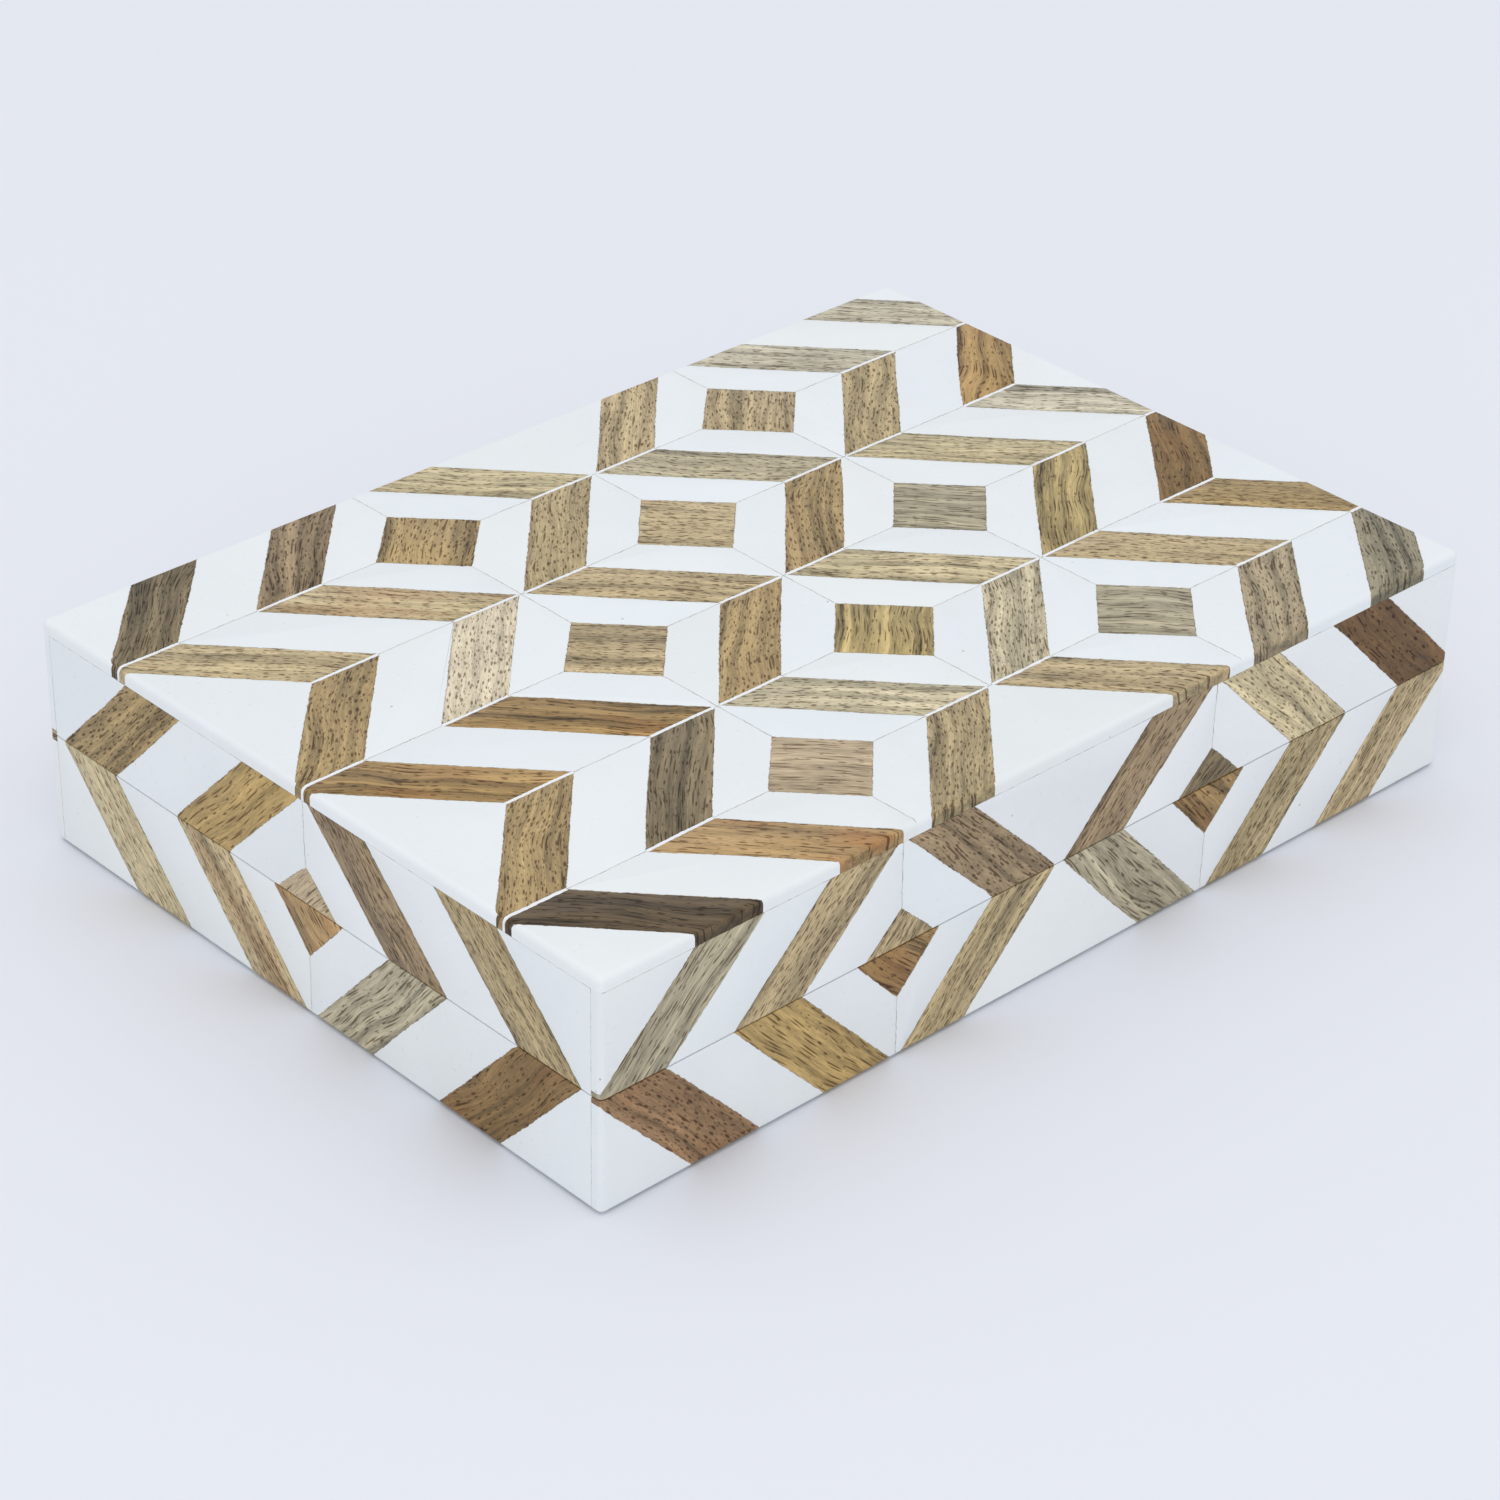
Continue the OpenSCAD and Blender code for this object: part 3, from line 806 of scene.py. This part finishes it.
hinge_rooms = [hinge_room(False), hinge_room(True)]
for half in ("base", "lid"):
    for side, (middle, across, woods, diamond_woods) in SIDES.items():
        long = side in ("front", "back")
        floor, roof = HALF_HEIGHT[half]
        top = roof if half == "base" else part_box("lid_top_white")[0].z / MM
        reach = HALF_LENGTH if long else SHORT_REACH
        free = ({"left", "right"} if long else set()) | {"bottom"}
        free |= {"top"} if half == "base" else set()
        panel = Panel(middle, across, (0, 0, 1), (-reach, floor), (reach, top), PLATE, free)
        strips, diamonds, white = side_tiles(half, long)
        shown = [s for s in strips if panel.clipped(s[0])]
        rooms = hinge_rooms if side == "back" else ()
        plate = f"{half}_{side}_"
        inlay(plate + "wood_strips", plate + "strips", half, "strip_wood", strip_wood, panel,
              [(o, d, *wood_colour(w)) for (o, d), w in zip(shown, woods[half])], rooms)
        slope = math.pi / 4 if half == "lid" else -math.pi / 4
        inlay(plate + "wood_diamonds", plate + "diamonds", half, "diamond_wood", diamond_wood,
              panel, [(o, slope, *wood_colour(w)) for o, w in zip(diamonds, diamond_woods[half])],
              rooms)
        inlay(plate + "resin_tiles", plate + "white", half, "white_resin", resin, panel,
              [(o, 0.0, *white_colour()) for o in white], rooms)
for room in hinge_rooms:
    throw_away(room)


# ---------------------------------------------------------------------------------------------
# The inlay on the lid: six rows of slanted strips that meet in points, with whole diamonds
# between them in white resin frames. It covers the upper edges of the side plates.

TOP_ROW = 28.3
TOP_NODE = 0.6
TOP_PATTERN = (16.0, 27.0, TOP_NODE, 18.6, 16.0, True)
TOP_DIAMOND = (13.2, 13.4)
TOP_SHIFT = 5.2
FILLER = 0.7
TOP_WOODS = (
    ("smoked oak", "fumed oak", "maple", "elm", "grey ash", "grey ash"),
    ("lemonwood", "lemonwood", "oak", "ash", "oak", "walnut"),
    ("teak", "pink beech", "elm", "teak", "maple", "grey ash"),
    ("walnut", "walnut", "teak", "maple", "olive", "dark walnut"),
    ("teak", "smoked oak", "ash", "ash", "elm", "teak"),
    ("bog oak", "apricot", "oak", "elm", "limed oak", "driftwood"),
)
TOP_DIAMOND_WOODS = {
    2: (("teak", 1), ("elm", 1)),
    1: (("lemonwood", -1),),
    0: (("elm", -1), ("weathered oak", -1)),
    -1: (("olive", 1),),
    -2: (("pear", -1), ("weathered oak", -1)),
}

top_low, top_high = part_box("lid_top_white")
top_panel = Panel(
    (0, 0, top_high.z / MM), (1, 0, 0), (0, 1, 0), (-HALF_LENGTH, -HALF_DEPTH),
    (HALF_LENGTH, HALF_DEPTH), (top_high.z - top_low.z) / MM, {"left", "right", "bottom", "top"},
)


def point_line(row):
    return (row if row % 2 == 0 else row + 1) * TOP_ROW


def diamond_line(row):
    return (row + 1 if row % 2 == 0 else row) * TOP_ROW


def framed(pattern, line, other):
    """The white round one line of a row: mitred where a diamond stands on the line."""
    if abs(line) + TOP_DIAMOND[1] < HALF_DEPTH:
        return mitred_frame(pattern, TOP_DIAMOND, line, other)
    return whole_frame(pattern, line, other)


top_strips = []
top_white = []
for row, woods in zip(range(2, -4, -1), TOP_WOODS):
    y0, y1 = point_line(row), diamond_line(row)
    for (outline, direction), wood in zip(strip_row(TOP_PATTERN, y0, y1, FILLER / 2), woods):
        top_strips.append((moved(outline, TOP_SHIFT), direction, *wood_colour(wood)))
    white = white_bands(TOP_PATTERN, y0, y1) + framed(TOP_PATTERN, y1, y0)
    for x in diamond_places(TOP_PATTERN, True):
        white += [moved(outline, x) for outline in framed(TOP_PATTERN, y0, y1)]
    top_white += [(moved(outline, TOP_SHIFT), 0.0, *white_colour()) for outline in white]
for line in (3, 1, -1, -3):
    fields = outer_fields(
        TOP_PATTERN, line * TOP_ROW, (line - 1) * TOP_ROW, (line + 1) * TOP_ROW)
    top_white += [(moved(outline, TOP_SHIFT), 0.0, *white_colour()) for outline in fields]

top_diamonds = []
for line, woods in TOP_DIAMOND_WOODS.items():
    for x, (wood, way) in zip(diamond_places(TOP_PATTERN, line % 2 == 0), woods):
        x += TOP_SHIFT
        y = line * TOP_ROW
        outline = [(x - TOP_DIAMOND[0], y), (x, y - TOP_DIAMOND[1]),
                   (x + TOP_DIAMOND[0], y), (x, y + TOP_DIAMOND[1])]
        direction = way * math.atan2(TOP_DIAMOND[1], TOP_DIAMOND[0])
        top_diamonds.append((outline, direction, *wood_colour(wood)))

inlay("lid_top_wood_strips", "lid_top_strips", "lid", "strip_wood", strip_wood, top_panel,
      top_strips)
inlay("lid_top_wood_diamonds", "lid_top_diamonds", "lid", "diamond_wood", diamond_wood,
      top_panel, top_diamonds)
inlay("lid_top_resin_tiles", "lid_top_white", "lid", "white_resin", resin, top_panel, top_white)


# ---------------------------------------------------------------------------------------------
# White filler in the mitres of the lid's strips: a soft paste pressed into each saw cut between
# two strips' ends, then sanded level with them. It is brighter and duller than the resin.

lid_filler = Finish("white_filler")
filler_place = lid_filler.node("ShaderNodeTexCoord", {}, {}, "Object")
filler_grit = lid_filler.cloud(lid_filler.times(filler_place, 2200, 2200, 2200), 3.0)
filler_dirt = lid_filler.cloud(lid_filler.times(filler_place, 160, 160, 160), 2.0)
filler_tone = lid_filler.blend(
    lid_filler.step(filler_dirt, 0.52, 0.75) * 0.4, light(238, 240, 243), light(205, 192, 170)
)
filler_tone = lid_filler.shaded(filler_tone, 0.95 + filler_grit * 0.1)
lid_filler.surface(filler_tone, 0.55 + filler_grit * 0.2, filler_grit, 0.02 * MM)


def modifier_values(modifier, tree, values):
    """Sets a modifier's inputs, by the identifier of each named socket."""
    for item in tree.interface.items_tree:
        if item.item_type == "SOCKET" and item.in_out == "INPUT" and item.name in values:
            modifier[item.identifier] = values[item.name]


def geometry_tree(name, inputs):
    """A Geometry Nodes tree with named inputs; returns it, its first wire and its wires by name."""
    group = bpy.data.node_groups.new(name, "GeometryNodeTree")
    group.is_modifier = True
    group.interface.new_socket("Geometry", in_out="INPUT", socket_type="NodeSocketGeometry")
    for label, kind in inputs.items():
        group.interface.new_socket(label, in_out="INPUT", socket_type="NodeSocket" + kind)
    group.interface.new_socket("Geometry", in_out="OUTPUT", socket_type="NodeSocketGeometry")
    tree = Tree(group)
    start = tree.node("NodeGroupInput")
    return tree, start, {label: start.also(label) for label in inputs}


filler_tree, filler_points, size = geometry_tree(
    "filler bars", {"Length": "Float", "Width": "Float", "Thickness": "Float", "Lean": "Float",
                    "Steps": "Int", "Material": "Material"})
bar_size = filler_tree.node("ShaderNodeCombineXYZ", {},
                            {0: size["Length"], 1: size["Width"], 2: size["Thickness"]})
bar = filler_tree.node("GeometryNodeMeshCube", {},
                       {"Size": bar_size, "Vertices X": size["Steps"], "Vertices Y": 3,
                        "Vertices Z": 2})
bar_place = filler_tree.node("GeometryNodeInputPosition")
bar_y = filler_tree.node("ShaderNodeSeparateXYZ", {}, {0: bar_place}, "Y")
bar_y = filler_tree.node("ShaderNodeMath", {"operation": "ABSOLUTE"}, {0: bar_y})
bar_lean = filler_tree.node("ShaderNodeCombineXYZ", {}, {0: bar_y * size["Lean"]})
bar = filler_tree.node("GeometryNodeSetPosition", {}, {"Geometry": bar, "Offset": bar_lean})
turn = filler_tree.node("GeometryNodeInputNamedAttribute", {"data_type": "FLOAT"},
                        {"Name": "turn"})
turn = filler_tree.node("ShaderNodeCombineXYZ", {}, {2: turn})
bars = filler_tree.node("GeometryNodeInstanceOnPoints", {},
                        {"Points": filler_points, "Instance": bar, "Rotation": turn})
bars = filler_tree.node("GeometryNodeRealizeInstances", {}, {"Geometry": bars})
bars = filler_tree.node("GeometryNodeSetMaterial", {},
                        {"Geometry": bars, "Material": size["Material"]})
filler_tree.node("NodeGroupOutput", {}, {"Geometry": bars})

bar_middles = []
bar_turns = []
for line in range(-2, 3):
    for start, width, lean in strip_places(TOP_PATTERN):
        middle = start + width / 2 + (0 if line % 2 == 0 else lean)
        leans_right = (lean > 0) == (line % 2 == 0)
        for side in (1, -1):
            x = side * middle + TOP_SHIFT
            if abs(x) - width / 2 < HALF_LENGTH:
                bar_middles.append((x, line * TOP_ROW, (top_low.z + top_high.z) / 2 / MM))
                bar_turns.append(0.0 if leans_right == (side > 0) else math.pi)
bar_mesh = bpy.data.meshes.new("filler_points")
bar_mesh.from_pydata(bar_middles, [], [])
bar_layer = bar_mesh.attributes.new("turn", "FLOAT", "POINT")
bar_layer.data.foreach_set("value", bar_turns)
filler_piece = loose_piece("filler_points", bar_mesh)
filler_modifier = filler_piece.modifiers.new("filler bars", "NODES")
filler_modifier.node_group = filler_tree.node_tree
modifier_values(filler_modifier, filler_tree.node_tree, {
    "Length": TOP_PATTERN[0], "Width": FILLER, "Thickness": top_panel.thick,
    "Lean": (TOP_PATTERN[1] - TOP_NODE) / TOP_ROW, "Steps": 33, "Material": lid_filler.material,
})
filler_mesh = evaluated(filler_piece)
filler_shape = bmesh.new()
filler_shape.from_mesh(filler_mesh)
bmesh.ops.remove_doubles(filler_shape, verts=filler_shape.verts, dist=0.0005)
for vert in filler_shape.verts:
    vert.co.xy = top_panel.sawn(vert.co.xy)
for sign in (-1, 1):
    everything = filler_shape.verts[:] + filler_shape.edges[:] + filler_shape.faces[:]
    cut = bmesh.ops.bisect_plane(
        filler_shape, geom=everything, dist=WELD, plane_co=(sign * HALF_LENGTH, 0, 0),
        plane_no=(sign, 0, 0), clear_outer=True)
    rims = [edge for edge in cut["geom_cut"] if isinstance(edge, bmesh.types.BMEdge)]
    bmesh.ops.holes_fill(filler_shape, edges=rims, sides=0)
split_for_rounding(filler_shape, rounding_cuts("lid"))
filler_shape.to_mesh(filler_mesh)
filler_points_now = np.array([vert.co for vert in filler_shape.verts])
filler_shape.free()
filler_mesh.vertices.foreach_set(
    "co", (rounded(filler_points_now, "lid") * MM).astype(np.float32).ravel())
shade_smoothly(filler_mesh)
finished("lid_top_filler_bars", filler_mesh, "lid", "white_filler", lid_filler.material,
         "lid_top_filler")


# ---------------------------------------------------------------------------------------------
# Two brass butt hinges, let into the back edge. Each has two leaves rolled round one pin.
# Eight countersunk brass screws with a slot across the head hold them to the walls.

def brass(name, shine):
    """Rolled brass, brushed along its length and a little dulled by handling."""
    metal = Finish(name)
    place = metal.node("ShaderNodeTexCoord", {}, {}, "Object")
    brushed = metal.cloud(metal.times(place, 150, 9000, 9000), 2.0)
    dull = metal.cloud(metal.times(place, 420, 420, 420), 3.0, 0.6)
    tone = metal.blend(metal.step(dull, 0.42, 0.72), light(214, 178, 112), light(158, 122, 70))
    tone = metal.shaded(tone, 0.9 + brushed * 0.2)
    roughness = shine + metal.step(dull, 0.4, 0.7) * 0.2 + (brushed - 0.5) * 0.12
    return metal.surface(tone, roughness, brushed, 0.008 * MM, Metallic=1.0)


hinge_brass = brass("hinge_brass", 0.26)
for node in ("hinge_base_leaves", "hinge_lid_leaves", "hinge_pins"):
    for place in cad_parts[node].material_slots:
        place.material = hinge_brass

SCREW_PITCH = 15.0
SCREW_HEAD = 1.7
SCREW_SHANK = 0.9
SCREW_LENGTH = 8.0
SLOT_WIDTH = 0.45
SLOT_DEPTH = 0.4
screw_brass = brass("screw_brass", 0.22)

screw_tree, screw_points, size = geometry_tree(
    "slotted screws", {"Head Radius": "Float", "Shank Radius": "Float", "Length": "Float",
                       "Slot Width": "Float", "Slot Depth": "Float", "Seed": "Int",
                       "Material": "Material"})
head_depth = size["Head Radius"] - size["Shank Radius"]
head = screw_tree.node("GeometryNodeMeshCone", {},
                       {"Vertices": 40, "Radius Top": size["Head Radius"],
                        "Radius Bottom": size["Shank Radius"], "Depth": head_depth})
down = screw_tree.node("ShaderNodeCombineXYZ", {}, {2: 0 - head_depth})
head = screw_tree.node("GeometryNodeTransform", {}, {"Geometry": head, "Translation": down})
slot_size = screw_tree.node("ShaderNodeCombineXYZ", {},
                            {0: 5.0, 1: size["Slot Width"], 2: size["Slot Depth"] * 2})
slot = screw_tree.node("GeometryNodeMeshCube", {}, {"Size": slot_size})
head = screw_tree.node("GeometryNodeMeshBoolean", {"operation": "DIFFERENCE"},
                       {"Mesh 1": head, "Mesh 2": slot})
shank = screw_tree.node("GeometryNodeMeshCone", {},
                        {"Vertices": 24, "Radius Top": size["Shank Radius"],
                         "Radius Bottom": size["Shank Radius"] * 0.55, "Depth": size["Length"]})
down = screw_tree.node("ShaderNodeCombineXYZ", {}, {2: 0 - head_depth - size["Length"]})
shank = screw_tree.node("GeometryNodeTransform", {}, {"Geometry": shank, "Translation": down})
screw = screw_tree.node("GeometryNodeJoinGeometry", {}, {"Geometry": head})
screw_tree.node_tree.links.new(shank.output, screw.output.node.inputs[0])
tilt = screw_tree.node("GeometryNodeInputNamedAttribute", {"data_type": "FLOAT"},
                       {"Name": "tilt"})
spin = screw_tree.node("FunctionNodeRandomValue", {"data_type": "FLOAT"},
                       {2: 0.2, 3: 2.9, "Seed": size["Seed"]}, 1)
turn = screw_tree.node("ShaderNodeCombineXYZ", {}, {0: tilt, 2: spin})
screws = screw_tree.node("GeometryNodeInstanceOnPoints", {},
                         {"Points": screw_points, "Instance": screw, "Rotation": turn})
screws = screw_tree.node("GeometryNodeRealizeInstances", {}, {"Geometry": screws})
screws = screw_tree.node("GeometryNodeSetMaterial", {},
                         {"Geometry": screws, "Material": size["Material"]})
screw_tree.node("NodeGroupOutput", {}, {"Geometry": screws})

for half in ("base", "lid"):
    low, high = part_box(f"hinge_{half}_screws")
    y = (low.y + high.y) / 2
    z, tilt = (high.z, 0.0) if half == "base" else (low.z, math.pi)
    middles = [(side * HINGE_X * MM + end * SCREW_PITCH / 2 * MM, y, z)
               for side in (-1, 1) for end in (-1, 1)]
    mesh = bpy.data.meshes.new("screw_points")
    mesh.from_pydata(middles, [], [])
    mesh.attributes.new("tilt", "FLOAT", "POINT").data.foreach_set("value", [tilt] * 4)
    piece = loose_piece("screw_points", mesh)
    modifier = piece.modifiers.new("slotted screws", "NODES")
    modifier.node_group = screw_tree.node_tree
    modifier_values(modifier, screw_tree.node_tree, {
        "Head Radius": SCREW_HEAD * MM, "Shank Radius": SCREW_SHANK * MM,
        "Length": SCREW_LENGTH * MM, "Slot Width": SLOT_WIDTH * MM,
        "Slot Depth": SLOT_DEPTH * MM, "Seed": 5, "Material": screw_brass,
    })
    finished(f"hinge_{half}_slotted_screws", evaluated(piece), half, "screw_brass", screw_brass,
             f"hinge_{half}_screws")


# ---------------------------------------------------------------------------------------------
# The studio: a plain pale floor, even white light from all round and one large soft light
# overhead, and the camera over the near left corner.

FLOOR_REACH = 8.0
# The floor lies a little below the box, which darkens the line under its lower edges.
FLOOR_DROP = 0.7
floor_finish = Finish("studio_floor")
floor_finish.surface(light(233, 235, 242), 0.9)
floor_mesh = bpy.data.meshes.new("studio_floor")
floor_z = cad_low.z - FLOOR_DROP * MM
floor_mesh.from_pydata(
    [(x * FLOOR_REACH, y * FLOOR_REACH, floor_z) for x, y in ((-1, -1), (1, -1), (1, 1), (-1, 1))],
    [], [(0, 1, 2, 3)])
floor_mesh.materials.append(floor_finish.material)
floor = loose_piece("studio_floor", floor_mesh)

world = bpy.data.worlds.new("studio")
world.use_nodes = True
sky = world.node_tree.nodes["Background"]
sky.inputs["Color"].default_value = (0.95, 0.97, 1.0, 1.0)
sky.inputs["Strength"].default_value = 0.85
bpy.context.scene.world = world


def soft_light(name, place, size, power, colour):
    """A large square lamp that faces the box."""
    lamp = bpy.data.lights.new(name, "AREA")
    lamp.shape = "SQUARE"
    lamp.size = size
    lamp.energy = power
    lamp.color = colour
    stand = bpy.data.objects.new(name, lamp)
    stand.rotation_euler = Vector(place).to_track_quat("Z", "Y").to_euler()
    stand.location = place
    bpy.context.scene.collection.objects.link(stand)


soft_light("overhead", (-0.1, -0.1, 1.5), 1.6, 4.5, (1.0, 1.0, 1.0))
soft_light("front", (-1.4, -1.5, 0.55), 1.2, 4.1, (1.0, 0.985, 0.82))

bpy.context.scene.view_settings.view_transform = "Standard"
bpy.context.scene.view_settings.look = "None"

# The camera in metres, and its heading, tilt and roll in degrees.
CAMERA_PLACE = (-0.50342, -0.52896, 0.45965)
HEADING = -43.42
TILT = 58.45
ROLL = 1.09
camera = bpy.data.cameras.new("camera")
camera.lens = 102.4
camera.sensor_width = 36.0
camera.clip_start = 0.05
camera.clip_end = 50.0
camera_place = bpy.data.objects.new("camera", camera)
camera_turn = (Matrix.Rotation(math.radians(HEADING), 4, "Z")
               @ Matrix.Rotation(math.radians(TILT), 4, "X")
               @ Matrix.Rotation(math.radians(ROLL), 4, "Z"))
camera_place.matrix_world = Matrix.Translation(CAMERA_PLACE) @ camera_turn
bpy.context.scene.collection.objects.link(camera_place)
bpy.context.scene.camera = camera_place
